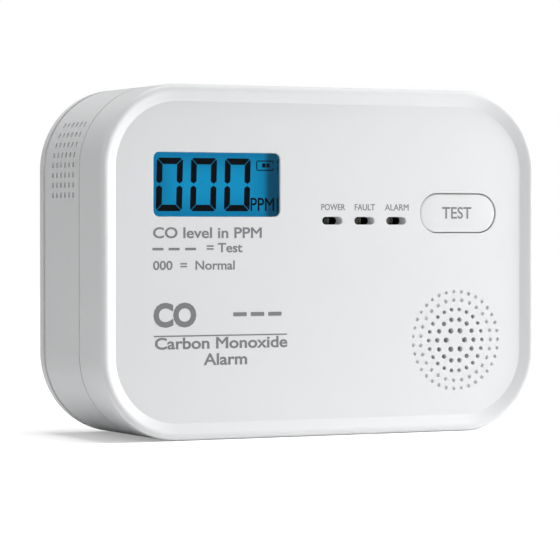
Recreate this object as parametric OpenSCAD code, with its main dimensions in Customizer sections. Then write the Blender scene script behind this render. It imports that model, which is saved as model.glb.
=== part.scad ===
// Battery carbon monoxide alarm: a two-part case with a recessed face, on a slide-off wall plate.
// Frame: X to the right seen from the front, front faces -Y, Z up, origin at the centre of the base.
// Most modules work in the face frame: x right, y up and z out towards the room, from the case centre.

/* [Case] */
// Overall width of the alarm
case_w = 112; // [104:1:140]
// Overall height of the alarm
case_h = 80; // [76:1:100]
// Overall depth from the wall to the crest of the rim
case_d = 37; // [36:0.5:46]
// Radius of the four outer corners
corner_r = 19; // [17:0.5:24]
// Thickness of the side walls
wall = 2; // [1.6:0.1:2.4]
// Thickness of the rear wall
back_t = 2; // [1.6:0.1:2.4]
// Rounding of the rear edge of the case
back_edge_r = 0.8; // [0.4:0.1:1.2]

/* [Front cover] */
// Depth of the front cover, from the crest of the rim to the parting line
cover_d = 12.6; // [12:0.2:14]
// Thickness of the front face
face_t = 2; // [1.6:0.1:2.2]
// Width of the raised rim round the face
rim_w = 4; // [3:0.1:5]
// Height of the rim above the face
rim_rise = 1; // [0.6:0.1:1.6]
// Rounding of the rim's outer edge
rim_edge_r = 1; // [0.6:0.1:1.4]
// Width of the shadow line between cover and rear case
groove_w = 0.4; // [0.2:0.1:0.8]
// Thickness of the locating lip inside the parting line
lip_t = 0.9; // [0.7:0.1:1.1]
// Height of the locating lip
lip_h = 1.6; // [1.2:0.1:2.4]

/* [Display] */
// Width of the display window
window_w = 31.5; // [26:0.5:34]
// Height of the display window
window_h = 14.5; // [12:0.5:16]
// Corner radius of the display window
window_r = 1.4; // [1:0.1:2]
// Place of the window's centre, to the right of the face centre
window_x = -27.2; // [-29:0.1:-26]
// Place of the window's centre, above the face centre
window_y = 17.5; // [15:0.1:18]
// How far the window's pane sits below the face
window_recess = 0.2; // [0.1:0.1:0.6]
// Thickness of the display glass
glass_t = 2; // [1.6:0.1:2.2]
// Thickness of the backlight panel
backlight_t = 3; // [2:0.1:3.4]

/* [Test button] */
// Length of the test button
button_w = 20; // [16:0.2:22]
// Height of the test button
button_h = 8.8; // [8:0.2:11]
// Place of the button's centre, to the right of the face centre
button_x = 35.3; // [33:0.1:37]
// Place of the button's centre, above the face centre
button_y = 11.2; // [9:0.1:13]
// How far the button goes in when it is pressed
button_travel = 0.6; // [0.3:0.1:1]
// Gap round the button and round other loose pieces
gap = 0.3; // [0.2:0.05:0.4]

/* [Lamps] */
// Length of each lamp slot
slot_w = 5.2; // [4.6:0.1:6]
// Height of each lamp slot
slot_h = 1.8; // [1.4:0.1:2.2]
// Distance from one lamp to the next
lamp_pitch = 8.37; // [7.6:0.01:8.6]
// Place of the middle lamp, to the right of the face centre
lamp_x = 10.33; // [9.5:0.01:11]
// Place of the lamps, above the face centre
lamp_y = 9.4; // [8:0.1:11]
// Diameter of a lamp
lamp_d = 3; // [2.6:0.1:3.2]

/* [Sounder] */
// Place of the grille's centre, to the right of the face centre
grille_x = 34.65; // [32:0.05:35]
// Place of the grille's centre, above the face centre
grille_y = -18.6; // [-20:0.1:-17]
// Outside diameter of the sounder housing
sounder_d = 24; // [22:0.5:24.4]
// Depth of the moulded dimples in the two outer rings of the grille
dimple_t = 0.6; // [0.4:0.1:1]

/* [Batteries] */
// Diameter of a cell
cell_d = 14.5; // [12:0.1:15.5]
// Length of a cell with its button
cell_l = 50.5; // [44:0.1:52]
// Room for the contact spring at the end of a cell
spring_room = 5; // [4:0.1:6]
// Place of the battery bay's centre, to the right of the face centre
bay_x = 4; // [3:0.5:5]
// Place of the battery bay's centre, above the face centre
bay_y = -9; // [-10:0.5:-7]
// Thickness of the bay's walls
bay_wall = 1.5; // [1.2:0.1:1.8]
// Radius of the door's hinge pins
pin_r = 1; // [0.8:0.05:1.2]
// Radial clearance of the hinge pins in their sockets
pin_fit = 0.06; // [0.03:0.01:0.1]

/* [Mounting plate] */
// Thickness of the mounting plate
plate_t = 2.5; // [2:0.1:3]
// Gap between the mounting plate and the case
plate_gap = 0.6; // [0.4:0.1:1]
// How far the plate slides to come off its hooks
slide_travel = 6.5; // [5:0.1:7]
// Sideways place of the hooks, from the centre
hook_x = 43; // [42:0.5:44]
// Height of the upper hooks above the centre
hook_top_y = 16; // [15:0.5:17]
// Height of the lower hooks above the centre
hook_low_y = -12; // [-12.5:0.5:-10]
// Width of a hook
hook_w = 6; // [5:0.2:6.4]
// Length of a hook's tongue
tongue_l = 4.8; // [3.6:0.1:4.8]
// Sideways spacing of the wall screw holes
fixing_w = 60; // [50:1:66]
// Vertical spacing of the wall screw holes
fixing_h = 64; // [62:1:66]
// Radius of the wall screw holes
fixing_r = 2.1; // [1.6:0.1:2.6]

/* [Circuit board] */
// Width of the circuit board
board_w = 98; // [90:1:100]
// Height of the circuit board
board_h = 66; // [62:1:68]
// Thickness of the circuit board
board_t = 1.6; // [1:0.1:1.8]
// Height of the parts' space between the circuit board and the face
board_room = 8.5; // [8:0.1:9]
// Diameter of the gas sensor
sensor_d = 20; // [18:0.5:21]
// Depth of the gas sensor
sensor_t = 14; // [12:0.5:15]
// Sideways place of the case screws, from the centre
screw_x = 49; // [48.8:0.1:49.2]
// Height of the case screws, from the centre
screw_y = 25; // [24.8:0.1:25.2]
// Radius of the case screws
screw_r = 1.5; // [1.2:0.1:1.6]
// Radius of the board screws
board_screw_r = 1.1; // [0.9:0.1:1.2]

/* [Hidden] */
$fn = 48;
eps = 0.5;
screw_fit = 0.05;

// Levels along the face frame's z, from the rim's crest to the wall
front_z = case_d / 2;
face_z = front_z - rim_rise;
face_back_z = face_z - face_t;
split_z = front_z - cover_d;
board_front_z = face_back_z - board_room;
board_back_z = board_front_z - board_t;
wall_side_z = -case_d / 2;
plate_z = wall_side_z + plate_t;
rear_z = plate_z + plate_gap;
rear_in_z = rear_z + back_t;

// Rim: the crest is one arc that meets the face at a slope and the crest level
rim_run = rim_w - rim_edge_r;
rim_arc_r = (rim_run * rim_run + rim_rise * rim_rise) / (2 * rim_rise);

// Display stack behind the window
pane_front_z = face_z - window_recess;
pane_flange = 1;
pane_flange_t = 0.8;
pane_fit = 0.08;
glass_gap = 0.3;
glass_front_z = face_back_z - pane_flange_t - glass_gap;
glass_back_z = glass_front_z - glass_t;
glass_w = window_w + 2 * pane_flange;
glass_h = window_h + 4;
light_h = window_h;
light_front_z = glass_back_z - 0.2;
frame_wall = 1.1;
frame_fit = 0.1;
connector_t = 1.4;

// Test button
flange_over = 1;
flange_z = face_back_z - gap;
flange_t = 1.2;
crown = 0.15;
switch_size = 6;
switch_t = 3.5;
plunger_r = 1.75;
plunger_fit = 0.06;
plunger_rise = 1.2;
plunger_depth = 1.2;
stem_r = 1.8;

// Grille: holes in each ring, ring radii and hole diameters
ring_count = [6, 14, 22, 27, 35];
ring_r = [2.48, 4.89, 7.21, 9.47, 11.43];
hole_d = [1.3, 1.1, 0.9, 0.9, 0.8];
through_rings = 3;
gasket_t = 0.5;
cup_wall = 1.2;

// Vents in the left wall of the rear case
vent_rows = 8;
vent_cols = 6;
vent_row_pitch = 2.28;
vent_col_pitch = 2.42;
vent_low_y = 15.2;
vent_front_z = face_z - 15.4;
vent_w = 0.95;
vent_h = 1.15;

// Battery bay and door
cell_gap = 1;
cell_room = 0.5;
nub_l = 1;
nub_r = 2.75;
cell_pitch = cell_d + cell_gap;
bay_w = cell_l + spring_room + 2.5;
bay_h = 2 * cell_d + cell_gap + 2 * cell_room;
cell_z = rear_in_z + 0.65 + cell_d / 2;
bay_floor_z = cell_z + cell_d / 2 + 0.35;
contact_t = 0.4;
contact_w = 11;
cell_right_x = bay_x + bay_w / 2 - contact_t - 0.6;
barrel_r = 1.6;
hinge_y = bay_y + bay_h / 2 - barrel_r;
hinge_z = rear_z + barrel_r;
door_w = bay_w - 2 * gap;
door_low_y = bay_y - bay_h / 2 + gap;
pin_l = 2.4;
cheek_w = pin_l + 1.2;
cheek_h = 5.2;
ridge_n = 5;
ridge_pitch = 2;

// Conical springs at the flat ends of the cells
spring_turns = 3.5;
spring_wire = 0.4;
spring_steps = 42;
spring_sides = 6;
spring_big_r = 4;
spring_small_r = 2.2;

// Lamps: their tops sit just behind the slots in the face
lamp_l = 5.5;
lamp_top_z = face_back_z - 1.4;
lamp_leg = 0.5;

// Mounting plate
hook_h = 2.4;
hook_fit = 0.3;
tongue_t = 1.6;
window_margin = 1.2;
plate_edge_r = 0.6;
sink_r = 3.9;
sink_t = 1.3;

// Screws and their posts
post_r = 3.4;
column_r = 3.6;
column_top_z = split_z - 2;
seat_z = -4;
head_r = 2.6;
head_t = 2;
thread_l = 6;
board_post_r = 2.6;
board_head_r = 2.2;
board_head_t = 1.5;
board_thread_l = 4;
board_posts = [[-44, -20], [-44, 2], [46, 1], [10, -26]];
board_notch = [5, 13];

// Electronics on the board
sensor_x = -33;
sensor_y = 22;
chip_size = 10;
chip_t = 1.6;
chip_x = -8;
chip_y = -13;
can_spots = [[-36, -6], [-27, -6], [-18, -24]];
can_r = [3.1, 3.1, 2.5];
can_l = [7, 7, 5.4];
coil_x = 8;
coil_y = -7;
coil_r = 4;
coil_l = 6.5;
resistor_spots = [[-36, -20], [-36, -24], [-36, -28], [-26, -18], [-26, -28], [2, 22], [2, 27]];

WHITE = "#eceded";
SHELL = "#e6e7e8";
DARK = "#26282b";
STEEL = "#b9bcc0";

// Turns the face frame (x right, y up, z towards the room) into the part's frame
module facing() {
    translate([0, 0, case_h / 2]) rotate([90, 0, 0]) children();
}

// Extrudes a face outline between two levels
module slab(low_z, high_z) {
    translate([0, 0, low_z]) linear_extrude(high_z - low_z) children();
}

// Rectangle with exact round corners, centred
module rounded(w, h, r) {
    square([w - 2 * r, h], center = true);
    square([w, h - 2 * r], center = true);
    for (sx = [-1, 1], sy = [-1, 1])
        translate([sx * (w / 2 - r), sy * (h / 2 - r)]) circle(r);
}

// Slot outline with round ends, centred
module stadium(w, h) {
    square([w - h, h], center = true);
    for (s = [-1, 1]) translate([s * (w - h) / 2, 0]) circle(h / 2);
}

// Sweeps a wall profile round the case outline; x = corner_r is the outer face
module around() {
    for (k = [0:3]) {
        run_a = (k % 2 == 0 ? case_w : case_h) / 2 - corner_r;
        run_b = (k % 2 == 0 ? case_h : case_w) / 2 - corner_r;
        rotate(90 * k) translate([run_a, run_b, 0]) {
            rotate([90, 0, 0]) linear_extrude(2 * run_b) children();
            rotate_extrude(angle = 90) children();
        }
    }
}

// Everything that repeats at the four case screws
module at_case_screws() {
    for (sx = [-1, 1], sy = [-1, 1]) translate([sx * screw_x, sy * screw_y, 0]) children();
}

module at_board_posts() {
    for (p = board_posts) translate([p[0], p[1], 0]) children();
}

// A ring of equal pins or holes
module ring(n, r, d, low_z, high_z) {
    for (i = [0:n - 1]) rotate(360 * i / n) translate([r, 0, low_z])
        cylinder(h = high_z - low_z, d = d, $fn = 16);
}

module cover_profile() {
    in_x = corner_r - rim_w;
    edge_x = corner_r - rim_edge_r;
    translate([corner_r - wall, split_z]) square([wall, front_z - rim_edge_r - split_z]);
    translate([corner_r - wall, split_z - lip_h]) square([lip_t, lip_h + eps]);
    translate([in_x, face_back_z]) square([rim_w, face_z - face_back_z]);
    translate([edge_x, front_z - rim_edge_r]) circle(rim_edge_r);
    intersection() {
        translate([in_x, face_z - eps]) square([rim_run, rim_rise + eps]);
        translate([edge_x, front_z - rim_arc_r]) circle(rim_arc_r, $fn = 96);
    }
}

module front_cover() {
    collar_z = face_back_z - 1.2;
    color(WHITE) facing() {
        difference() {
            union() {
                around() cover_profile();
                slab(face_back_z, face_z) rounded(case_w - 2 * wall, case_h - 2 * wall, corner_r - wall);
                intersection() {
                    at_case_screws() translate([0, 0, column_top_z])
                        cylinder(h = face_back_z + eps - column_top_z, r = post_r);
                    slab(column_top_z, face_back_z + eps)
                        rounded(case_w - 2 * (wall + gap), case_h - 2 * (wall + gap), corner_r - wall - gap);
                }
                at_board_posts() translate([0, 0, board_front_z])
                    cylinder(h = board_room + eps, r = board_post_r);
                slab(collar_z, face_back_z + eps) lamp_outlines(2);
            }
            slab(face_back_z - eps, face_z + eps) translate([window_x, window_y])
                rounded(window_w, window_h, window_r);
            slab(face_back_z - eps, face_z + eps) translate([button_x, button_y])
                stadium(button_w + 2 * gap, button_h + 2 * gap);
            slab(collar_z - eps, face_z + eps) lamp_outlines(0);
            translate([grille_x, grille_y, 0]) grille_holes();
            at_case_screws() translate([0, 0, column_top_z - eps])
                cylinder(h = thread_l + 1 + eps, r = screw_r + screw_fit);
            at_board_posts() translate([0, 0, board_front_z - eps])
                cylinder(h = board_thread_l + 1 + eps, r = board_screw_r + screw_fit);
        }
    }
}

module lamp_outlines(grow) {
    for (i = [-1, 0, 1]) translate([lamp_x + i * lamp_pitch, lamp_y])
        stadium(slot_w + grow, slot_h + grow);
}

module grille_holes() {
    for (k = [0:len(ring_count) - 1])
        ring(ring_count[k], ring_r[k], hole_d[k],
             k < through_rings ? face_back_z - eps : face_z - dimple_t, face_z + eps);
}

module rear_profile() {
    top_z = split_z - groove_w;
    translate([corner_r - wall, rear_z + back_edge_r])
        square([wall, split_z - lip_h - rear_z - back_edge_r]);
    translate([corner_r - wall + lip_t + 0.1, split_z - lip_h - eps])
        square([wall - lip_t - 0.1, top_z - split_z + lip_h + eps]);
    translate([corner_r - wall - back_edge_r, rear_z]) square([wall, back_t]);
    translate([corner_r - back_edge_r, rear_z + back_edge_r]) circle(back_edge_r);
}

module rear_case() {
    color(SHELL) facing() difference() {
        union() {
            difference() {
                union() {
                    around() rear_profile();
                    slab(rear_z, rear_in_z) rounded(case_w - 2 * wall, case_h - 2 * wall, corner_r - wall);
                }
                vents();
            }
            at_case_screws() translate([0, 0, rear_z]) cylinder(h = column_top_z - rear_z, r = column_r);
            slab(rear_z, bay_floor_z + bay_wall) translate([bay_x, bay_y])
                square([bay_w + 2 * bay_wall, bay_h + 2 * bay_wall], center = true);
            for (s = [-1, 1]) hinge_cheek(s);
        }
        slab(rear_z - eps, bay_floor_z) translate([bay_x, bay_y]) square([bay_w, bay_h], center = true);
        translate([bay_x - bay_w / 2 - pin_l - gap, hinge_y, hinge_z]) rotate([0, 90, 0])
            cylinder(h = bay_w + 2 * (pin_l + gap), r = pin_r + pin_fit);
        at_case_screws() {
            translate([0, 0, rear_z - eps]) cylinder(h = seat_z - rear_z + eps, r = head_r + 0.4);
            translate([0, 0, seat_z - eps])
                cylinder(h = column_top_z - seat_z + 2 * eps, r = screw_r + 0.2);
        }
        hook_slots();
        finger_notch();
        lead_holes();
    }
}

module vents() {
    for (row = [0:vent_rows - 1], col = [0:vent_cols - 1])
        translate([-case_w / 2 - eps, vent_low_y + row * vent_row_pitch - vent_h / 2,
                   vent_front_z - col * vent_col_pitch - vent_w / 2])
            cube([corner_r / 2, vent_h, vent_w]);
}

// Block beside the bay that holds a hinge pin
module hinge_cheek(s) {
    translate([bay_x + s * (bay_w + cheek_w) / 2, hinge_y, rear_z + cheek_h / 2])
        cube([cheek_w, cheek_h, cheek_h], center = true);
}

module hook_slots() {
    for (sx = [-1, 1], y = [hook_top_y, hook_low_y])
        translate([sx * hook_x - hook_w / 2 - hook_fit,
                   y - slide_travel - hook_h / 2 - hook_fit, rear_z - eps])
            cube([hook_w + 2 * hook_fit, slide_travel + hook_h + 2 * hook_fit, back_t + 2 * eps]);
}

// Scoop below the door for a fingertip
module finger_notch() {
    translate([bay_x, door_low_y - gap, rear_z]) sphere(r = 1.2, $fn = 32);
}

module lead_holes() {
    for (s = [-1, 1]) translate([bay_x - bay_w / 2 + 2.5, bay_y + s * cell_pitch / 2, bay_floor_z - eps])
        cylinder(h = bay_wall + 2 * eps, r = 0.9, $fn = 24);
}

module battery_door() {
    panel_t = back_t;
    color(SHELL) facing() union() {
        slab(rear_z, rear_z + panel_t) translate([bay_x - door_w / 2, door_low_y])
            square([door_w, hinge_y - door_low_y]);
        translate([bay_x - door_w / 2, hinge_y, hinge_z]) rotate([0, 90, 0])
            cylinder(h = door_w, r = barrel_r);
        translate([bay_x - bay_w / 2 - pin_l, hinge_y, hinge_z]) rotate([0, 90, 0])
            cylinder(h = bay_w + 2 * pin_l, r = pin_r);
        for (i = [0:ridge_n - 1]) translate([bay_x, door_low_y + 4 + i * ridge_pitch, rear_z])
            rotate([0, 90, 0]) cylinder(h = 16, r = 0.35, center = true, $fn = 24);
    }
}

module plate_profile() {
    translate([corner_r - wall, wall_side_z + plate_edge_r]) square([wall, plate_t - plate_edge_r]);
    translate([corner_r - wall - plate_edge_r, wall_side_z]) square([wall, plate_t]);
    translate([corner_r - plate_edge_r, wall_side_z + plate_edge_r]) circle(plate_edge_r, $fn = 32);
}

module mounting_plate() {
    hole_low_y = bay_y - bay_h / 2 - window_margin;
    hole_high_y = hinge_y + barrel_r + slide_travel + window_margin;
    color(SHELL) facing() difference() {
        union() {
            around() plate_profile();
            slab(wall_side_z, plate_z) rounded(case_w - 2 * wall, case_h - 2 * wall, corner_r - wall);
            for (sx = [-1, 1], y = [hook_top_y, hook_low_y]) translate([sx * hook_x, y, 0]) hook();
        }
        slab(wall_side_z - eps, plate_z + eps) translate([bay_x, (hole_low_y + hole_high_y) / 2])
            square([bay_w + 2 * window_margin, hole_high_y - hole_low_y], center = true);
        for (sx = [-1, 1], sy = [-1, 1]) translate([sx * fixing_w / 2, sy * fixing_h / 2, 0]) {
            translate([0, 0, wall_side_z - eps]) cylinder(h = plate_t + 2 * eps, r = fixing_r);
            translate([0, 0, plate_z - sink_t]) cylinder(h = sink_t, r1 = fixing_r, r2 = sink_r);
        }
    }
}

// L-shaped hook: a post through the case slot and a tongue that points up behind the rear wall
module hook() {
    tongue_z = rear_in_z + gap;
    translate([-hook_w / 2, -hook_h / 2, plate_z - eps]) {
        cube([hook_w, hook_h, tongue_z + tongue_t - plate_z + eps]);
        translate([0, 0, tongue_z - plate_z + eps]) cube([hook_w, hook_h + tongue_l, tongue_t]);
    }
}

module test_button() {
    stem_low_z = board_front_z + switch_t + plunger_rise + gap;
    color(WHITE) facing() translate([button_x, button_y, 0]) {
        slab(flange_z - flange_t, face_z - crown) stadium(button_w, button_h);
        slab(face_z - 2 * crown, face_z) stadium(button_w - 2 * crown, button_h - 2 * crown);
        slab(flange_z - flange_t, flange_z) stadium(button_w + 2 * flange_over, button_h + 2 * flange_over);
        slab(stem_low_z, flange_z) circle(stem_r);
    }
}

module switch_plunger() {
    color(DARK) facing() translate([button_x, button_y, 0])
        slab(board_front_z + switch_t - plunger_depth, board_front_z + switch_t + plunger_rise)
            circle(plunger_r);
}

module switch_body() {
    bore_low_z = board_front_z + switch_t - plunger_depth - button_travel - gap;
    color(STEEL) facing() translate([button_x, button_y, 0]) difference() {
        slab(board_front_z, board_front_z + switch_t) square(switch_size, center = true);
        slab(bore_low_z, board_front_z + switch_t + eps) circle(plunger_r + plunger_fit);
    }
}

module display_window() {
    color("#9fd2e8") facing() translate([window_x, window_y, 0]) {
        slab(face_back_z - eps / 2, pane_front_z)
            rounded(window_w - 2 * pane_fit, window_h - 2 * pane_fit, window_r - pane_fit);
        slab(face_back_z - pane_flange_t, face_back_z)
            square([window_w + 2 * pane_flange, window_h + 2 * pane_flange], center = true);
    }
}

module display_glass() {
    color("#1286bf") facing() translate([window_x, window_y, 0])
        slab(glass_back_z, glass_front_z) square([glass_w, glass_h], center = true);
}

module backlight_panel() {
    color("#bfe6f5") facing() translate([window_x, window_y, 0])
        slab(light_front_z - backlight_t, light_front_z) square([glass_w - 1, light_h], center = true);
}

module display_frame() {
    in_w = glass_w + 2 * frame_fit;
    in_h = glass_h + 2 * frame_fit;
    color("#f2f2f0") facing() translate([window_x, window_y, 0]) difference() {
        slab(board_front_z, glass_front_z)
            square([in_w + 2 * frame_wall, in_h + 2 * frame_wall], center = true);
        slab(board_front_z - eps, glass_front_z + eps) square([in_w, in_h], center = true);
    }
}

module display_connectors() {
    color("#d7a6a0") facing() translate([window_x, window_y, 0])
        for (s = [-1, 1]) slab(board_front_z, glass_back_z)
            translate([0, s * (light_h / 2 + 0.3 + connector_t / 2)])
                square([glass_w - 3, connector_t], center = true);
}

module circuit_board() {
    color("#1f6b3a") facing() difference() {
        slab(board_back_z, board_front_z) difference() {
            square([board_w, board_h], center = true);
            for (sx = [-1, 1], sy = [-1, 1])
                translate([sx * (board_w - board_notch[0]) / 2, sy * (board_h - board_notch[1]) / 2])
                    square([board_notch[0] + eps / 2, board_notch[1] + eps / 2], center = true);
        }
        at_board_posts() translate([0, 0, board_back_z - eps])
            cylinder(h = board_t + 2 * eps, r = board_screw_r + 0.15);
    }
}

// Pan-head screw along +z, with its head at the bottom and a cross recess in it
module screw(r, l, hr, ht) {
    difference() {
        union() {
            translate([0, 0, -ht]) cylinder(h = ht, r = hr);
            translate([0, 0, -eps]) cylinder(h = l + eps, r = r);
        }
        for (a = [0, 90]) rotate(a) translate([0, 0, -ht])
            cube([1.4 * hr, hr / 4, ht], center = true);
    }
}

module board_screws() {
    color(STEEL) facing() at_board_posts() translate([0, 0, board_back_z])
        screw(board_screw_r, board_t + board_thread_l, board_head_r, board_head_t);
}

module case_screws() {
    color(STEEL) facing() at_case_screws() translate([0, 0, seat_z])
        screw(screw_r, column_top_z - seat_z + thread_l, head_r, head_t);
}

module microcontroller() {
    legs = 11;
    leg_pitch = 0.8;
    color(DARK) facing() translate([chip_x, chip_y, 0]) {
        slab(board_front_z + 0.2, board_front_z + chip_t) square(chip_size, center = true);
        for (a = [0:90:270], i = [0:legs - 1])
            rotate(a)
                translate([chip_size / 2 - 0.2, (i - (legs - 1) / 2) * leg_pitch - 0.15, board_front_z])
                cube([1.2, 0.3, 0.5]);
    }
}

module capacitors() {
    color("#2b3350") facing() for (i = [0:2]) translate([can_spots[i][0], can_spots[i][1], board_front_z])
        difference() {
            cylinder(h = can_l[i], r = can_r[i]);
            for (a = [0, 90]) rotate(a) translate([0, 0, can_l[i]])
                cube([can_r[i], 0.2, 0.3], center = true);
        }
}

module resistors() {
    color("#c9a66b") facing() for (p = resistor_spots) translate([p[0], p[1], board_front_z + 1.1])
        rotate([0, 90, 0]) {
            cylinder(h = 4, r = 0.8, center = true, $fn = 24);
            for (s = [-1, 1]) translate([0, 0, s * 2]) cylinder(h = 1.4, r = 1, center = true, $fn = 24);
        }
}

module sounder_coil() {
    color("#7d4a2a") facing() translate([coil_x, coil_y, board_front_z]) {
        for (z = [0, coil_l - 1]) translate([0, 0, z]) cylinder(h = 1, r = coil_r);
        cylinder(h = coil_l, r = coil_r - 1);
    }
}

module co_sensor() {
    color(STEEL) facing() translate([sensor_x, sensor_y, 0]) difference() {
        slab(board_back_z - sensor_t, board_back_z) circle(sensor_d / 2);
        slab(board_back_z - sensor_t - eps, board_back_z - sensor_t + 1) circle(sensor_d / 2 - 2);
    }
}

// Perforated cap that lets the air into the sensor
module sensor_cap() {
    low_z = board_back_z - sensor_t;
    color(WHITE) facing() translate([sensor_x, sensor_y, 0]) difference() {
        slab(low_z, low_z + 1) circle(sensor_d / 2 - 2 - screw_fit);
        ring(6, 4, 1.6, low_z - eps, low_z + 1 + eps);
    }
}

module sounder_housing() {
    color(DARK) facing() translate([grille_x, grille_y, 0]) difference() {
        slab(board_front_z, face_back_z - gasket_t) circle(sounder_d / 2);
        slab(board_front_z + 1, face_back_z) circle(sounder_d / 2 - 2 * cup_wall);
        slab(board_front_z + 4, face_back_z) circle(sounder_d / 2 - cup_wall);
    }
}

module sounder_disc() {
    color("#c8a24a") facing() translate([grille_x, grille_y, board_front_z + 4]) {
        cylinder(h = 0.3, r = sounder_d / 2 - cup_wall - 0.1);
        cylinder(h = 0.6, r = sounder_d / 3);
    }
}

module sounder_gasket() {
    color(DARK) facing() translate([grille_x, grille_y, 0]) difference() {
        slab(face_back_z - gasket_t, face_back_z) circle(sounder_d / 2);
        slab(face_back_z - gasket_t - eps, face_back_z + eps) circle(sounder_d / 2 - cup_wall);
    }
}

module led_holder() {
    top_z = face_back_z - 1.2;
    color("#3a3c40") facing() difference() {
        slab(board_front_z, top_z) translate([lamp_x, lamp_y])
            square([2 * lamp_pitch + slot_w + 2, lamp_d + 2.4], center = true);
        for (i = [-1, 0, 1]) translate([lamp_x + i * lamp_pitch, lamp_y, 0])
            slab(board_front_z - eps, top_z + eps) stadium(slot_w, lamp_d + 0.8);
    }
}

// Round-topped lamp on two legs, standing off the board
module lamp(i) {
    base_z = lamp_top_z - lamp_l;
    facing() translate([lamp_x + i * lamp_pitch, lamp_y, 0]) {
        translate([0, 0, base_z]) cylinder(h = 1, r = lamp_d / 2 + 0.3);
        translate([0, 0, base_z]) cylinder(h = lamp_l - lamp_d / 2, r = lamp_d / 2);
        translate([0, 0, lamp_top_z - lamp_d / 2]) sphere(r = lamp_d / 2);
        for (s = [-1, 1]) translate([s * 1.27, 0, (board_front_z + base_z + eps) / 2])
            cube([lamp_leg, lamp_leg, base_z + eps - board_front_z], center = true);
    }
}

module power_led() {
    color("#7fd49a") lamp(-1);
}

module fault_led() {
    color("#e8b64c") lamp(0);
}

module alarm_led() {
    color("#d8433c") lamp(1);
}

// One cell along x; turn is 1 with its button to the right, -1 to the left
module cell(y, turn) {
    mid_x = cell_right_x - cell_l / 2 - (turn > 0 ? 0 : spring_room - 0.6);
    facing() translate([mid_x, y, cell_z]) rotate([0, turn * 90, 0]) {
        translate([0, 0, -cell_l / 2]) cylinder(h = cell_l - nub_l, r = cell_d / 2);
        translate([0, 0, cell_l / 2 - nub_l - eps]) cylinder(h = nub_l + eps, r = nub_r);
    }
}

module upper_battery() {
    color("#3c3f44") cell(bay_y + cell_pitch / 2, -1);
}

module lower_battery() {
    color("#3c3f44") cell(bay_y - cell_pitch / 2, 1);
}

// Contact sheet that stands against a bay end wall
module contact_sheet(side, y, h) {
    x = bay_x + side * (bay_w - contact_t) / 2;
    translate([x, y, cell_z]) cube([contact_t, h, contact_w], center = true);
}

module terminal_contacts() {
    color(STEEL) facing() for (s = [-1, 1]) contact_sheet(-1, bay_y + s * cell_pitch / 2, contact_w);
}

module series_contact() {
    color(STEEL) facing() contact_sheet(1, bay_y, cell_pitch + contact_w);
}

// Conical coil spring, swept as one closed tube
function spring_point(t, l) =
    let (a = 360 * spring_turns * t, r = spring_big_r + (spring_small_r - spring_big_r) * t)
    [r * cos(a), r * sin(a), spring_wire + (l - 2 * spring_wire) * t];

function spring_ring(t, l) =
    let (c = spring_point(t, l), a = 360 * spring_turns * t)
    [for (k = [0:spring_sides - 1])
        let (b = 360 * k / spring_sides)
        c + spring_wire * [cos(b) * cos(a), cos(b) * sin(a), sin(b)]];

module spring(l) {
    n = spring_sides;
    points = [for (i = [0:spring_steps]) each spring_ring(i / spring_steps, l)];
    sides = [for (i = [0:spring_steps - 1], k = [0:n - 1])
        [i * n + k, (i + 1) * n + k, (i + 1) * n + (k + 1) % n, i * n + (k + 1) % n]];
    ends = [[for (k = [0:n - 1]) k], [for (k = [n - 1:-1:0]) spring_steps * n + k]];
    polyhedron(points, concat(sides, ends), convexity = 8);
}

module contact_springs() {
    low_end_x = cell_right_x - cell_l;
    high_end_x = cell_right_x - spring_room + 0.6;
    left_x = bay_x - bay_w / 2 + contact_t;
    right_x = bay_x + bay_w / 2 - contact_t;
    color(STEEL) facing() {
        translate([left_x, bay_y - cell_pitch / 2, cell_z]) rotate([0, 90, 0]) spring(low_end_x - left_x);
        translate([right_x, bay_y + cell_pitch / 2, cell_z]) rotate([0, -90, 0])
            spring(right_x - high_end_x);
    }
}

// Round lead between two levels with a short run along the board
module lead(x, y, run_x, low_z) {
    r = 0.6;
    top_z = board_back_z - 0.7;
    translate([x, y, low_z]) cylinder(h = top_z - low_z, r = r, $fn = 24);
    translate([x, y, top_z]) sphere(r = r, $fn = 24);
    translate([x, y, top_z]) rotate([0, run_x > 0 ? 90 : -90, 0]) cylinder(h = abs(run_x), r = r, $fn = 24);
}

module battery_leads() {
    x = bay_x - bay_w / 2 + 2.5;
    color("#a8232a") facing() for (s = [-1, 1])
        lead(x, bay_y + s * cell_pitch / 2, -8, bay_floor_z + 0.1);
}

module sounder_leads() {
    color("#8a1f26") facing() for (s = [-1, 1])
        translate([grille_x - sounder_d / 2 - 6, grille_y + 2 * s, board_front_z + 0.6])
            rotate([0, 90, 0]) cylinder(h = 6, r = 0.5, $fn = 24);
}

mounting_plate();
rear_case();
front_cover();
battery_door();
test_button();
switch_plunger();
switch_body();
display_window();
display_glass();
backlight_panel();
display_frame();
display_connectors();
circuit_board();
board_screws();
case_screws();
microcontroller();
capacitors();
resistors();
sounder_coil();
co_sensor();
sensor_cap();
sounder_housing();
sounder_disc();
sounder_gasket();
led_holder();
power_led();
fault_led();
alarm_led();
upper_battery();
lower_battery();
terminal_contacts();
series_contact();
contact_springs();
battery_leads();
sounder_leads();
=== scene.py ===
"""Battery carbon monoxide alarm: case, display, lamps, button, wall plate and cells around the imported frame.

Laid out as an add-on and run as a script. Lengths are in metres, X is to the right seen from the front,
the front faces -Y and Z is up.
"""

import math

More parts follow.
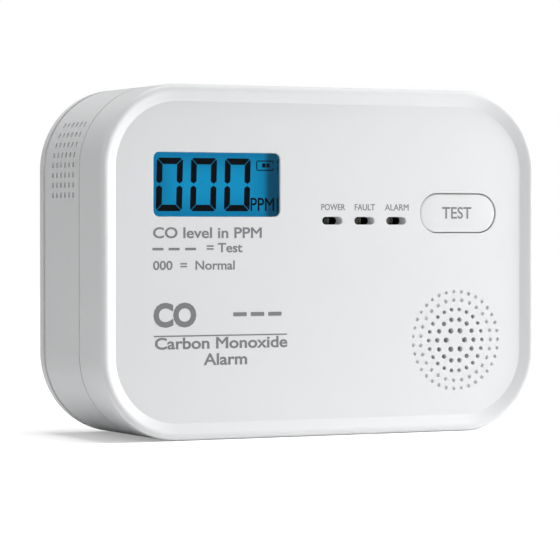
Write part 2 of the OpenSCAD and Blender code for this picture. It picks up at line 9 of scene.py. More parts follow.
import bmesh
import bpy
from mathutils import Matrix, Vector


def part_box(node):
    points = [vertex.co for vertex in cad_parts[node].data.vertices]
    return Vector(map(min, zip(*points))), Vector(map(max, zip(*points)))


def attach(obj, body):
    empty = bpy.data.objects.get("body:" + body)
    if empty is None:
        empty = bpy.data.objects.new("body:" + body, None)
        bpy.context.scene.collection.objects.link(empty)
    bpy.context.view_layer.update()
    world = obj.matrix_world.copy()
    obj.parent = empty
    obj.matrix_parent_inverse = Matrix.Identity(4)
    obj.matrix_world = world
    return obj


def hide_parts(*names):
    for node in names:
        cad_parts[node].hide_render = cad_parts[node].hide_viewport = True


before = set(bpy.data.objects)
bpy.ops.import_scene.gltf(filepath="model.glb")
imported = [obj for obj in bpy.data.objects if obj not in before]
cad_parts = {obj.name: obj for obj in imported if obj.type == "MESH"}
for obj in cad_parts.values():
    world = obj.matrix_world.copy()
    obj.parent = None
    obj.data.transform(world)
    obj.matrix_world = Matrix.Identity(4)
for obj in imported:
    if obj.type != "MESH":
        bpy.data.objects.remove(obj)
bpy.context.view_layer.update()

bl_info = {
    "name": "Carbon Monoxide Alarm",
    "version": (1, 0, 0),
    "blender": (4, 5, 0),
    "location": "View3D > Sidebar > Alarm",
    "description": "Builds a wall or shelf carbon monoxide alarm round its packed frame",
    "category": "Object",
}

MM = 0.001
EPS = 0.5 * MM       # how far a cutter reaches past what it cuts
SLACK = 0.004 * MM   # keeps a cutter's edges off the surface that it cuts
LAMP_R = 1.5 * MM    # a lamp's radius
COLLAR = 1.2 * MM    # how far a lamp's collar stands behind the face
FLANGE = 1 * MM      # flange of the button and of the display pane
INK_GAP = 0.06 * MM  # from the display glass to its segments
ROOM = -1   # a face that looks at the room faces -Y
WALL = 1    # a face that looks at the wall faces +Y
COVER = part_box("front_cover")
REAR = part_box("rear_case")
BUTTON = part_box("test_button")
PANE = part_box("display_window")
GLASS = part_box("display_glass")
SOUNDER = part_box("sounder_housing")
LAMPS = [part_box(name) for name in ("power_led", "fault_led", "alarm_led")]
WIDTH = COVER[1].x - COVER[0].x
HEIGHT = COVER[1].z - COVER[0].z
MID_Z = (COVER[0].z + COVER[1].z) / 2
CREST_Y = COVER[0].y


def centre(box):
    """Middle of a node's box."""
    return (box[0] + box[1]) / 2


# ---------------------------------------------------------------- settings

def length(label, words, value):
    """A length setting in metres."""
    return bpy.props.FloatProperty(name=label, description=words, default=value, unit="LENGTH", precision=5)


def angle(label, words, degrees):
    """An angle setting, given in degrees."""
    value = math.radians(degrees)
    return bpy.props.FloatProperty(name=label, description=words, default=value, subtype="ANGLE")


def number(label, words, value, unit="NONE"):
    """Any other number."""
    return bpy.props.FloatProperty(name=label, description=words, default=value, unit=unit)


def shade(label, words, code):
    """A colour setting, given as an sRGB hex value."""
    return bpy.props.FloatVectorProperty(
        name=label, description=words, default=linear(code)[:3], subtype="COLOR", size=3, min=0, max=1)


def linear(code):
    """sRGB hex value to linear colour."""
    channels = [int(code[i:i + 2], 16) / 255 for i in (1, 3, 5)]
    return tuple(c / 12.92 if c <= 0.04045 else ((c + 0.055) / 1.055) ** 2.4 for c in channels) + (1.0,)


class AlarmCase(bpy.types.PropertyGroup):
    """Sizes of the two case shells."""
    corner: length("Corner radius", "Radius of the four outer corners", 19 * MM)
    wall: length("Wall", "Thickness of the side walls", 2 * MM)
    face: length("Face", "Thickness of the front face", 2 * MM)
    rise: length("Rim height", "Height of the rim above the face", 1 * MM)
    shoulder: length("Rim shoulder", "Rounding between the crest and the slope inside it", 2 * MM)
    slope: angle("Rim slope", "Angle of the rim's inner slope", 23)
    edge: length("Rim rounding", "Rounding of the rim's outer edge", 1.1 * MM)
    groove: length("Groove", "Width of the shadow line between the shells", 0.4 * MM)
    lip: length("Lip", "Thickness of the locating lip", 0.9 * MM)
    lip_height: length("Lip height", "Height of the locating lip", 1.6 * MM)
    chamfer: length("Chamfer", "Small chamfer where the shells meet", 0.12 * MM)
    window_corner: length("Window corner", "Corner radius of the display window", 1.4 * MM)
    gap: length("Gap", "Gap round the button", 0.3 * MM)
    slot_width: length("Lamp slot length", "Length of a lamp slot", 5.2 * MM)
    slot_height: length("Lamp slot height", "Height of a lamp slot", 1.8 * MM)
    dimple: length("Dimple", "Depth of the two outer rings of the grille", 0.6 * MM)
    shell: shade("Shell", "Colour of the moulded white plastic", "#f1f2f3")


class AlarmDisplay(bpy.types.PropertyGroup):
    """Sizes and colours of the lit display."""
    digit_height: length("Digit height", "Height of a digit", 12 * MM)
    digit_width: length("Digit width", "Width of a digit", 6.45 * MM)
    digit_pitch: length("Digit pitch", "Distance from one digit to the next", 8.45 * MM)
    stroke: length("Stroke", "Width of a digit's segments", 1.45 * MM)
    middle: shade("Middle", "Colour of the light in the middle", "#1093c2")
    rim: shade("Rim", "Colour of the light along the edges", "#0875a0")
    # Painted shade: this deep blue, painted over the right-hand end of the glow, stands for the window's right
    # wall seen through the pane.
    painted_shade_end: shade("Dark end", "Colour of the shaded right-hand end", "#0b4560")
    ink: shade("Segment", "Colour of a switched-on segment", "#020d18")


class AlarmPrint(bpy.types.PropertyGroup):
    """The printed lettering."""
    film: length("Ink film", "How far the print stands above the plastic", 0.02 * MM)
    grey: shade("Ink", "Colour of the printed lettering", "#85878a")


class AlarmStage(bpy.types.PropertyGroup):
    """Floor, light and camera."""
    floor: shade("Floor", "Colour of the floor", "#f4f4f4")
    azimuth: angle("Azimuth", "Camera's side angle", -26.475)
    elevation: angle("Elevation", "Camera's height angle", 1.022)
    distance: length("Distance", "Distance from the camera to the point it looks at", 645.6 * MM)
    lens: number("Lens", "Focal length in millimetres", 182.1, "CAMERA")
    aim_x: length("Aim across", "Point looked at, to the right of the face centre", -11.48 * MM)
    aim_z: length("Aim up", "Point looked at, above the face centre", -4.13 * MM)
    sky: number("Sky", "Strength of the even light", 0.18)
    backdrop: number("Backdrop", "Brightness of the seen backdrop", 1.0)
    lift: number("Lift", "Brightness added to the seen floor", 0.33)
    key: number("Key", "Power of the soft light at the right, in watts", 2.45, "POWER")
    back: number("Back", "Power of the soft light behind, in watts", 1.5, "POWER")
    top: number("Top", "Strength of the soft light from above", 1.9)


# ---------------------------------------------------------------- modelling

def deselect():
    """Leaves edit mode with nothing selected."""
    if bpy.context.mode != "OBJECT":
        bpy.ops.object.mode_set(mode="OBJECT")
    bpy.ops.object.select_all(action="DESELECT")


def only(*objects):
    """Selects just these objects; the last one is active."""
    deselect()
    for obj in objects:
        obj.select_set(True)
    bpy.context.view_layer.objects.active = objects[-1]


def begin(name, looks, size, spot):
    """Names and sizes the new primitive, turns it to the room or the wall, and opens it for editing."""
    obj = bpy.context.object
    obj.name = name
    obj.scale = size
    obj.rotation_euler = (math.radians(-90 * looks), 0, 0)
    obj.location = spot
    bpy.ops.object.transform_apply(location=True, rotation=True, scale=True)
    bpy.ops.object.mode_set(mode="EDIT")
    bpy.ops.mesh.select_all(action="SELECT")
    return obj


def outline(name, width, height, radius, x, z, y, looks=ROOM, steps=16):
    """Opens a new flat face with round corners for editing."""
    deselect()
    bpy.ops.mesh.primitive_plane_add(size=1)
    obj = begin(name, looks, (width, height, 1), (x, y, z))
    if radius > 0:
        radius = min(radius, width / 2, height / 2)
        bpy.ops.mesh.bevel(affect="VERTICES", offset=radius, segments=steps, profile=0.5)
        bpy.ops.mesh.select_all(action="SELECT")
        bpy.ops.mesh.remove_doubles(threshold=0.002 * MM)
    return obj


def disc(name, radius, x, z, y, looks=ROOM, steps=32):
    """Opens a new flat round face for editing."""
    deselect()
    bpy.ops.mesh.primitive_circle_add(vertices=steps, radius=radius, fill_type="NGON")
    return begin(name, looks, (1, 1, 1), (x, y, z))


def raise_by(rise, looks=ROOM):
    """Extrudes the selected face along Y."""
    bpy.ops.mesh.extrude_region_move(TRANSFORM_OT_translate={"value": (0, looks * rise, 0)})


def step(inwards, rise=0.0):
    """Insets the selected face while it rises along its normal, or sinks where rise is negative."""
    bpy.ops.mesh.inset(thickness=inwards, depth=rise, use_even_offset=True)


def round_over(radius, steps=5):
    """A quarter round: the selected face rises and closes in."""
    last = (0.0, 0.0)
    for i in range(1, steps + 1):
        turn = math.pi / 2 * i / steps
        here = (radius * (1 - math.cos(turn)), radius * math.sin(turn))
        step(here[0] - last[0], here[1] - last[1])
        last = here


def take_far_side(obj, looks=WALL):
    """Selects the end face that looks the other way, with all faces pointing outwards."""
    bpy.ops.mesh.select_all(action="SELECT")
    bpy.ops.mesh.normals_make_consistent(inside=False)
    bpy.ops.mesh.select_all(action="DESELECT")
    mesh = bmesh.from_edit_mesh(obj.data)
    ends = [face for face in mesh.faces if face.normal.y * looks > 0.9]
    furthest = max(ends, key=lambda face: face.calc_center_median().y * looks)
    furthest.select_set(True)
    bmesh.update_edit_mesh(obj.data)


def close(obj):
    """Points the faces outwards and leaves edit mode."""
    bpy.ops.mesh.select_all(action="SELECT")
    bpy.ops.mesh.normals_make_consistent(inside=False)
    bpy.ops.object.mode_set(mode="OBJECT")
    return obj


def block(name, width, height, radius, x, z, back, front, steps=16):
    """A plain block with round corners, from its back level to its front level, for cutting and joining."""
    obj = outline(name, width, height, radius, x, z, back, steps=steps)
    raise_by(back - front)
    return close(obj)


def post(name, radius, x, z, back, front, steps=32):
    """A plain round post, for cutting and joining."""
    obj = disc(name, radius, x, z, back, steps=steps)
    raise_by(back - front)
    return close(obj)


def copies(obj, places):
    """The piece, which stands at the first place, and a copy with its own mesh at each other place."""
    made = [obj]
    for place in places[1:]:
        only(obj)
        bpy.ops.object.duplicate()
        bpy.ops.transform.translate(value=place - places[0])
        bpy.ops.object.transform_apply(location=True, rotation=False, scale=False)
        made.append(bpy.context.object)
    return made


def gather(name, objects):
    """Joins pieces that don't touch into one object."""
    only(*objects)
    if len(objects) > 1:
        bpy.ops.object.join()
    obj = bpy.context.object
    obj.name = name
    return obj


def trace(name, points):
    """Draws edges from point to point, out of a plane merged to one vertex, and selects them all."""
    deselect()
    bpy.ops.mesh.primitive_plane_add(size=1)
    obj = bpy.context.object
    obj.name = name
    bpy.ops.object.mode_set(mode="EDIT")
    bpy.ops.mesh.select_all(action="SELECT")
    bpy.ops.mesh.merge(type="CENTER")
    bpy.ops.transform.translate(value=points[0])
    for last, here in zip(points, points[1:]):
        bpy.ops.mesh.extrude_vertices_move(TRANSFORM_OT_translate={"value": here - last})
    bpy.ops.mesh.select_all(action="SELECT")
    return obj


def lathe(name, profile, spot, axis, steps=48):
    """Spins a closed profile of (radius, distance along the axis) pairs round a centre line."""
    across = Vector((0, 0, 1))
    obj = trace(name, [spot + axis * along + across * radius for radius, along in profile])
    bpy.ops.mesh.spin(steps=steps, angle=2 * math.pi, center=spot, axis=axis)
    bpy.ops.mesh.select_all(action="SELECT")
    bpy.ops.mesh.remove_doubles(threshold=0.001 * MM)
    return close(obj)


def carve(obj, tool, how="DIFFERENCE"):
    """Cuts a tool out of a piece, or joins it on, and removes the tool."""
    only(obj)
    modifier = obj.modifiers.new("carve", "BOOLEAN")
    modifier.operation = how
    modifier.solver = "EXACT"
    modifier.object = tool
    bpy.ops.object.modifier_apply(modifier=modifier.name)
    bpy.data.objects.remove(tool)
    return obj


def finish_surface(obj, angle=18):
    """Smooth shading that keeps flat faces flat."""
    only(obj)
    bpy.ops.object.shade_smooth_by_angle(angle=math.radians(angle))
    modifier = obj.modifiers.new("even normals", "WEIGHTED_NORMAL")
    modifier.keep_sharp = True
    modifier.weight = 100
    bpy.ops.object.modifier_apply(modifier=modifier.name)
    return obj


def hole(name, width, height, radius, x, z, face_y, depth, lead, steps=12):
    """A cutter for a hole in the front face, flared by a small lead-in radius at its mouth."""
    reach = 2 * EPS
    wide, high = width + 2 * lead, height + 2 * lead
    obj = outline(name, wide, high, radius + lead, x, z, face_y - reach, WALL, steps)
    raise_by(reach + SLACK, WALL)
    for i in range(1, 7):
        turn, before = math.pi / 2 * i / 6, math.pi / 2 * (i - 1) / 6
        step(lead * (math.sin(turn) - math.sin(before)), lead * (math.cos(before) - math.cos(turn)))
    raise_by(depth - lead, WALL)
    return close(obj)


def round_hole(name, radius, x, z, face_y, depth, lead, steps=24):
    """The same for a small round hole."""
    reach = 2 * EPS
    obj = disc(name, radius + lead, x, z, face_y - reach, WALL, steps)
    raise_by(reach + SLACK, WALL)
    step(0.3 * lead, 0.7 * lead)
    step(0.7 * lead, 0.3 * lead)
    raise_by(depth - lead, WALL)
    return close(obj)


def finished(obj, body, slot, material, *nodes):
    """Gives a piece its material and its body, and hides the nodes it stands for. The slot is not used."""
    obj.data.materials.clear()
    obj.data.materials.append(material)
    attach(obj, body)
    if nodes:
        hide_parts(*nodes)
    return obj


def lettering(name, words, x, z, height, width, y, weight, anchor="CENTER"):
    """Printed words that face the room: a closed film with its middle or left end at x, its foot at z."""
    film = 2 * bpy.context.scene.alarm_print.film
    deselect()
    bpy.ops.object.text_add()
    bpy.context.object.data.body = words
    bpy.context.object.data.resolution_u = 4
    bpy.ops.object.convert(target="MESH")
    obj = bpy.context.object
    obj.name = name
    bpy.ops.object.mode_set(mode="EDIT")
    bpy.ops.mesh.select_all(action="SELECT")
    bpy.ops.mesh.remove_doubles(threshold=0.004)
    bpy.ops.mesh.extrude_region_move(TRANSFORM_OT_translate={"value": (0, 0, 0.1)})
    bpy.ops.mesh.select_all(action="SELECT")
    bpy.ops.mesh.normals_make_consistent(inside=False)
    bpy.ops.transform.shrink_fatten(value=weight, use_even_offset=True)
    bpy.ops.object.mode_set(mode="OBJECT")
    low, high = [Vector(f(v.co[i] for v in obj.data.vertices) for i in range(3)) for f in (min, max)]
    size = high - low
    scale = Vector((width / size.x, height / size.y, film / size.z))
    foot = low.x if anchor == "LEFT" else (low.x + high.x) / 2
    obj.scale = scale
    obj.rotation_euler = (math.radians(90), 0, 0)
    obj.location = (x - foot * scale.x, y + (low.z + high.z) / 2 * scale.z, z - low.y * scale.y)
    bpy.ops.object.transform_apply(location=True, rotation=True, scale=True)
    return obj


def thicken(obj, film):
    """Gives a flat print its thickness, towards the plastic behind it."""
    bpy.ops.mesh.select_all(action="SELECT")
    bpy.ops.mesh.normals_make_consistent(inside=False)
    bpy.ops.object.mode_set(mode="OBJECT")
    only(obj)
    modifier = obj.modifiers.new("film", "SOLIDIFY")
    modifier.thickness = 2 * film
    modifier.offset = 0
    bpy.ops.object.modifier_apply(modifier=modifier.name)
    return obj


# ---------------------------------------------------------------- materials

def add(tree, kind, settings=(), links=()):
    """Adds a node. Settings name its options in small letters, its sockets with a capital or a number."""
    node = tree.nodes.new(kind)
    for key, value in dict(settings).items():
        if isinstance(key, int) or key[0].isupper():
            node.inputs[key].default_value = value
        else:
            setattr(node, key, value)
    for key, source in dict(links).items():
        tree.links.new(source, node.inputs[key])
    return node


def new_material(name, **sockets):
    """An empty material with its shader and object coordinates; sockets are the shader's own values."""
    made = bpy.data.materials.new(name)
    made.use_nodes = True
    tree = made.node_tree
    tree.nodes.clear()
    shader = add(tree, "ShaderNodeBsdfPrincipled", {k.replace("_", " "): v for k, v in sockets.items()})
    add(tree, "ShaderNodeOutputMaterial", links={"Surface": shader.outputs["BSDF"]})
    place = add(tree, "ShaderNodeTexCoord").outputs["Object"]
    return made, tree, shader, place


def grain(tree, place, size, detail=2.0):
    """Fine noise with features of a real size in metres."""
    return add(tree, "ShaderNodeTexNoise", {"Scale": 1 / size, "Detail": detail, "Roughness": 0.55},
               {"Vector": place}).outputs["Fac"]


def mottle(tree, shader, place, colour, size, amount):
    """Varies the base colour a little over patches of a real size."""
    spread = grain(tree, place, size)
    plain = tuple(colour[:3]) + (1,)
    darker = tuple(c * (1 - amount) for c in colour[:3]) + (1,)
    mixed = add(tree, "ShaderNodeMix", {"data_type": "RGBA", 6: darker, 7: plain}, {0: spread})
    tree.links.new(mixed.outputs[2], shader.inputs["Base Color"])
    return spread


def relief(tree, shader, heights, depth, strength):
    """Bump of a real depth in metres."""
    bump = add(tree, "ShaderNodeBump", {"Strength": strength, "Distance": depth}, {"Height": heights})
    tree.links.new(bump.outputs["Normal"], shader.inputs["Normal"])


def spread_roughness(tree, shader, source, low, high):
    """Lets the gloss vary between two values."""
    mapped = add(tree, "ShaderNodeMapRange", {"To Min": low, "To Max": high}, {"Value": source})
    tree.links.new(mapped.outputs["Result"], shader.inputs["Roughness"])


def moulded_abs(name, colour, rough=0.42, grit=0.35 * MM, depth=0.012 * MM):
    """ABS, moulded against a spark-eroded tool: a soft satin with a very fine even grain."""
    made, tree, shader, place = new_material(name, IOR=1.53, Roughness=rough, Subsurface_Weight=0.0)
    mottle(tree, shader, place, colour, 14 * MM, 0.012)
    fine = grain(tree, place, grit, 3.0)
    spread_roughness(tree, shader, fine, rough - 0.05, rough + 0.07)
    relief(tree, shader, fine, depth, 0.35)
    return made


def screen_ink(name, colour):
    """Pad-printed ink: a flat matt film with slightly uneven cover."""
    made, tree, shader, place = new_material(name, IOR=1.5, Roughness=0.6)
    spread = mottle(tree, shader, place, colour, 0.5 * MM, 0.05)
    relief(tree, shader, spread, 0.005 * MM, 0.3)
    return made


def clear_acrylic(name, tint="#f4fbff"):
    """Polished clear acrylic: sharp reflections, with faint ripples from moulding.

    Its IOR is below the real 1.49, so that the reflection of the room doesn't veil the display.
    """
    made, tree, shader, place = new_material(name, IOR=1.3, Roughness=0.015, Transmission_Weight=1.0)
    mottle(tree, shader, place, linear(tint), 6 * MM, 0.01)
    relief(tree, shader, grain(tree, place, 9 * MM), 0.01 * MM, 0.05)
    return made


def lit_display(name, settings):
    """Liquid crystal glass over an edge-lit blue panel: bright middle, deeper edges, and painted shade over
    the right-hand end, where the window's right wall is seen through the pane.
    """
    made, tree, shader, place = new_material(
        name, IOR=1.5, Roughness=0.25, Base_Color=(0, 0.01, 0.02, 1), Emission_Strength=1.0,
        Specular_IOR_Level=0.0)
    middle, size = centre(GLASS), GLASS[1] - GLASS[0]
    centred = add(tree, "ShaderNodeMapping",
                  {"vector_type": "TEXTURE", 1: middle, 3: (size.x / 2, 1, size.z / 2)},
                  {"Vector": place}).outputs["Vector"]
    apart = add(tree, "ShaderNodeSeparateXYZ", links={"Vector": centred})
    edges = []
    for axis, start in (("X", 0.4), ("Z", 0.1)):
        away = add(tree, "ShaderNodeMath", {"operation": "ABSOLUTE"}, {0: apart.outputs[axis]})
        edges.append(add(tree, "ShaderNodeMapRange",
                         {"interpolation_type": "SMOOTHSTEP", "From Min": start, "From Max": 1.0},
                         {"Value": away.outputs[0]}).outputs["Result"])
    edge = add(tree, "ShaderNodeMath", {"operation": "MAXIMUM"}, {0: edges[0], 1: edges[1]}).outputs[0]
    patches = grain(tree, place, 5 * MM)
    edge = add(tree, "ShaderNodeMath", {"operation": "MULTIPLY_ADD", 1: 0.25},
               {0: patches, 2: edge}).outputs[0]
    lit = add(tree, "ShaderNodeMix",
              {"data_type": "RGBA", "clamp_factor": True, 6: (*settings.middle, 1), 7: (*settings.rim, 1)},
              {0: edge}).outputs[2]
    # Painted shade: the glow turns to the deep blue at its right-hand end, where the window's right wall is
    # seen through the pane.
    end = add(tree, "ShaderNodeMapRange",
              {"interpolation_type": "SMOOTHSTEP", "From Min": 0.74, "From Max": 0.86},
              {"Value": apart.outputs["X"]}).outputs["Result"]
    shown = add(tree, "ShaderNodeMix", {"data_type": "RGBA", 7: (*settings.painted_shade_end, 1)},
                {0: end, 6: lit}).outputs[2]
    tree.links.new(shown, shader.inputs["Emission Color"])
    return made


def display_segment(name, colour):
    """A switched-on liquid crystal segment: it blocks the light and shines hardly at all."""
    made, tree, shader, place = new_material(name, IOR=1.5, Roughness=0.5, Specular_IOR_Level=0.0)
    mottle(tree, shader, place, tuple(colour), 3 * MM, 0.05)
    return made


def metal(name, colour, rough, streak=0.15 * MM):
    """Bare or plated metal, drawn or rolled: faint streaks that blur its reflections one way."""
    made, tree, shader, place = new_material(name, Metallic=1.0, Roughness=rough)
    stretched = add(tree, "ShaderNodeMapping", {3: (0.1, 1, 1)}, {"Vector": place}).outputs["Vector"]
    streaks = grain(tree, stretched, streak)
    mottle(tree, shader, place, linear(colour), 2 * MM, 0.08)
    spread_roughness(tree, shader, streaks, rough - 0.06, rough + 0.1)
    relief(tree, shader, streaks, 0.004 * MM, 0.4)
    return made


def plain_plastic(name, colour, rough=0.35, grit=0.5 * MM):
    """Glossy or satin moulded plastic, resin or sleeve, with slight waviness."""
    made, tree, shader, place = new_material(name, IOR=1.5, Roughness=rough)
    fine = mottle(tree, shader, place, linear(colour), grit, 0.08)
    relief(tree, shader, fine, 0.01 * MM, 0.3)
    return made


def clear_epoxy(name, code):
    """Cast epoxy: clear, glossy and very slightly hazy."""
    made, tree, shader, place = new_material(name, IOR=1.54, Roughness=0.06, Transmission_Weight=0.92)
    mottle(tree, shader, place, linear(code), 1 * MM, 0.03)
    relief(tree, shader, grain(tree, place, 0.8 * MM), 0.004 * MM, 0.2)
    return made


def printed_sleeve(name, edge, turn):
    """Shrunk PVC sleeve, printed charcoal with a copper-coloured band at the contact end."""
    made, tree, shader, place = new_material(name, IOR=1.53, Roughness=0.28)
    along = add(tree, "ShaderNodeSeparateXYZ", links={"Vector": place}).outputs["X"]
    blur = turn * 0.05 * MM
    side = add(tree, "ShaderNodeMapRange", {"From Min": edge - blur, "From Max": edge + blur},
               {"Value": along}).outputs["Result"]
    bands = add(tree, "ShaderNodeMix", {"data_type": "RGBA", 6: linear("#25272b"), 7: linear("#b5763f")},
                {0: side})
    worn = grain(tree, place, 3 * MM)
    mixed = add(tree, "ShaderNodeMix", {"data_type": "RGBA", "blend_type": "MULTIPLY", 7: linear("#dcdcdc")},
                {0: worn, 6: bands.outputs[2]})
    tree.links.new(mixed.outputs[2], shader.inputs["Base Color"])
    relief(tree, shader, worn, 0.02 * MM, 0.3)
    return made


def solder_mask(name):
    """Green solder mask over copper: gloss lacquer, with the tracks showing as a lighter pattern."""
    made, tree, shader, place = new_material(name, IOR=1.5, Roughness=0.3)
    tracks = add(tree, "ShaderNodeTexVoronoi", {"feature": "DISTANCE_TO_EDGE", "Scale": 1 / (5 * MM)},
                 {"Vector": place}).outputs["Distance"]
    line = add(tree, "ShaderNodeMapRange", {"From Min": 0.03, "From Max": 0.05},
               {"Value": tracks}).outputs["Result"]
    mixed = add(tree, "ShaderNodeMix", {"data_type": "RGBA", 6: linear("#2f8a52"), 7: linear("#14572c")},
                {0: line})
    tree.links.new(mixed.outputs[2], shader.inputs["Base Color"])
    relief(tree, shader, line, 0.03 * MM, 0.5)
    return made


# ---------------------------------------------------------------- pieces

def shell_material():
    """The white ABS that all the outer mouldings share."""
    return bpy.data.materials.get("white moulded ABS") or moulded_abs(
        "white moulded ABS", tuple(bpy.context.scene.alarm_case.shell))


def levels():
    """Levels along Y: face, back of the face, and parting line."""
    case = bpy.context.scene.alarm_case
    face_y = CREST_Y + case.rise
    return face_y, face_y + case.face, REAR[0].y - case.groove


class ALARM_OT_front_cover(bpy.types.Operator):
    """Front shell: raised rim, recessed face, window, button hole, lamp slots and sounder grille"""
    bl_idname = "alarm.front_cover"
    bl_label = "Front cover"

    grille_rings = ((6, 2.48, 1.3), (14, 4.89, 1.1), (22, 7.21, 0.9), (27, 9.47, 0.9), (35, 11.43, 0.8))
    through_rings = 3
    screws = [(x, z) for x in (-49, 49) for z in (-25, 25)]
    board_posts = ((-44, -20), (-44, 2), (46, 1), (10, -26))

    def execute(self, context):
        case = context.scene.alarm_case
        face_y, face_back, split_y = levels()
        cover = self.shell(case, split_y)
        self.add_insides(cover, case, face_back)
        self.cut_openings(cover, case, face_y)
        self.cut_grille(cover, case, face_y)
        finish_surface(cover)
        finished(cover, "case", "case_plastic", shell_material(), "front_cover")
        return {"FINISHED"}

    def shell(self, case, split_y):
        """The outside is one outline that rises to the rim and the face, and steps back to the lip."""
        start = split_y - case.chamfer
        cover = outline("front_cover_shell", WIDTH, HEIGHT, case.corner, 0, MID_Z, start, steps=28)
        raise_by(start - (CREST_Y + case.edge))
        round_over(case.edge, 8)
        for i in range(5):
            before, turn = case.slope * i / 5, case.slope * (i + 1) / 5
            step(case.shoulder * (math.sin(turn) - math.sin(before)),
                 case.shoulder * (math.cos(turn) - math.cos(before)))
        left_over = case.rise - case.shoulder * (1 - math.cos(case.slope))
        step(left_over / math.tan(case.slope), -left_over)
        take_far_side(cover)
        step(case.chamfer, case.chamfer)
        step(case.wall - case.lip - case.chamfer)
        raise_by(case.lip_height, WALL)
        close(cover)
        cavity = block("cavity", WIDTH - 2 * case.wall, HEIGHT - 2 * case.wall, case.corner - case.wall,
                       0, MID_Z, split_y + case.lip_height + EPS, CREST_Y + case.rise + case.face, steps=28)
        return carve(cover, cavity)

    def add_insides(self, cover, case, face_back):
        """Screw bosses, board posts and the collars round the lamp slots."""
        front = face_back - EPS
        post_back = GLASS[1].y + 5.4 * MM
        rows = (("boss", 3.4 * MM, self.screws, COVER[1].y), ("post", 2.6 * MM, self.board_posts, post_back))
        made = []
        for name, radius, spots, back in rows:
            places = [Vector((x * MM, 0, MID_Z + z * MM)) for x, z in spots]
            first = post(name, radius, places[0].x, places[0].z, back, front)
            made += copies(first, places)
        lamps = [centre(lamp) for lamp in LAMPS]
        wide, high = case.slot_width + 2 * MM, case.slot_height + 2 * MM
        collar = block("collar", wide, high, high / 2, lamps[0].x, lamps[0].z, face_back + COLLAR, front)
        made += copies(collar, lamps)
        carve(cover, gather("bosses", made), "UNION")

    def cut_openings(self, cover, case, face_y):
        """Display window, button hole and lamp slots, each with a small rounded mouth."""
        through = case.face + 2 * EPS
        pane, button = centre(PANE), centre(BUTTON)
        wide, high = PANE[1].x - PANE[0].x - 2 * FLANGE, PANE[1].z - PANE[0].z - 2 * FLANGE
        window = hole("window", wide, high, case.window_corner, pane.x, pane.z, face_y, through, 0.15 * MM)
        wide = BUTTON[1].x - BUTTON[0].x - 2 * FLANGE + 2 * case.gap
        high = BUTTON[1].z - BUTTON[0].z - 2 * FLANGE + 2 * case.gap
        press = hole("press", wide, high, high / 2, button.x, button.z, face_y, through, 0.14 * MM, steps=24)
        lamps = [centre(lamp) for lamp in LAMPS]
        slot = hole("slot", case.slot_width, case.slot_height, case.slot_height / 2, lamps[0].x, lamps[0].z,
                    face_y, through + COLLAR, 0.12 * MM)
        carve(cover, gather("openings", [window, press] + copies(slot, lamps)))

    def cut_grille(self, cover, case, face_y):
        """Five rings of holes; the two outer rings are shallow dimples."""
        spot = centre(SOUNDER)
        tools = []
        for k, (count, ring, wide) in enumerate(self.grille_rings):
            deep = case.face + 2 * EPS if k < self.through_rings else case.dimple
            turns = [2 * math.pi * i / count for i in range(count)]
            places = [spot + ring * MM * Vector((math.cos(turn), 0, math.sin(turn))) for turn in turns]
            first = round_hole("hole", wide * MM / 2, places[0].x, places[0].z, face_y, deep, 0.1 * MM)
            tools += copies(first, places)
        carve(cover, gather("holes", tools))


class ALARM_OT_test_button(bpy.types.Operator):
    """Long push button with a soft crown, its flange and stem, and its printed word"""
    bl_idname = "alarm.test_button"
    bl_label = "Test button"

    def execute(self, context):
        spot = centre(BUTTON)
        top = BUTTON[0].y
        flange_y, flange_t = levels()[1] + 1.5 * MM, 1.2 * MM
        wide, high = BUTTON[1].x - BUTTON[0].x, BUTTON[1].z - BUTTON[0].z
        edge, crown, swell = 0.35 * MM, 0.12 * MM, 0.07 * MM
        button = outline("test_button_cap", wide, high, high / 2, spot.x, spot.z, flange_y, steps=24)
        raise_by(flange_t)
        step(FLANGE - swell)
        raise_by(flange_y - flange_t - (top + crown + edge))
        round_over(edge, 6)
        reach = high / 2 - FLANGE + swell - edge - 0.4 * MM
        for i in range(1, 9):
            step(reach / 8, crown * (math.sin(math.pi / 2 * i / 8) - math.sin(math.pi / 2 * (i - 1) / 8)))
        close(button)
        stem = post("stem", 1.8 * MM, spot.x, spot.z, BUTTON[1].y, flange_y - EPS)
        carve(button, stem, "UNION")
        finish_surface(button)
        finished(button, "button", "button_plastic", shell_material(), "test_button")
        ink_y = top - context.scene.alarm_print.film / 2
        word = lettering("test_word", "TEST", 34.95 * MM, MID_Z + 9.9 * MM, 2.78 * MM, 7.9 * MM, ink_y, 0.012)
        finished(word, "button", "button_plastic", printed_material())
        return {"FINISHED"}


def printed_material():
    """The grey ink that all the lettering shares."""
    return bpy.data.materials.get("grey print") or screen_ink(
        "grey print", tuple(bpy.context.scene.alarm_print.grey))


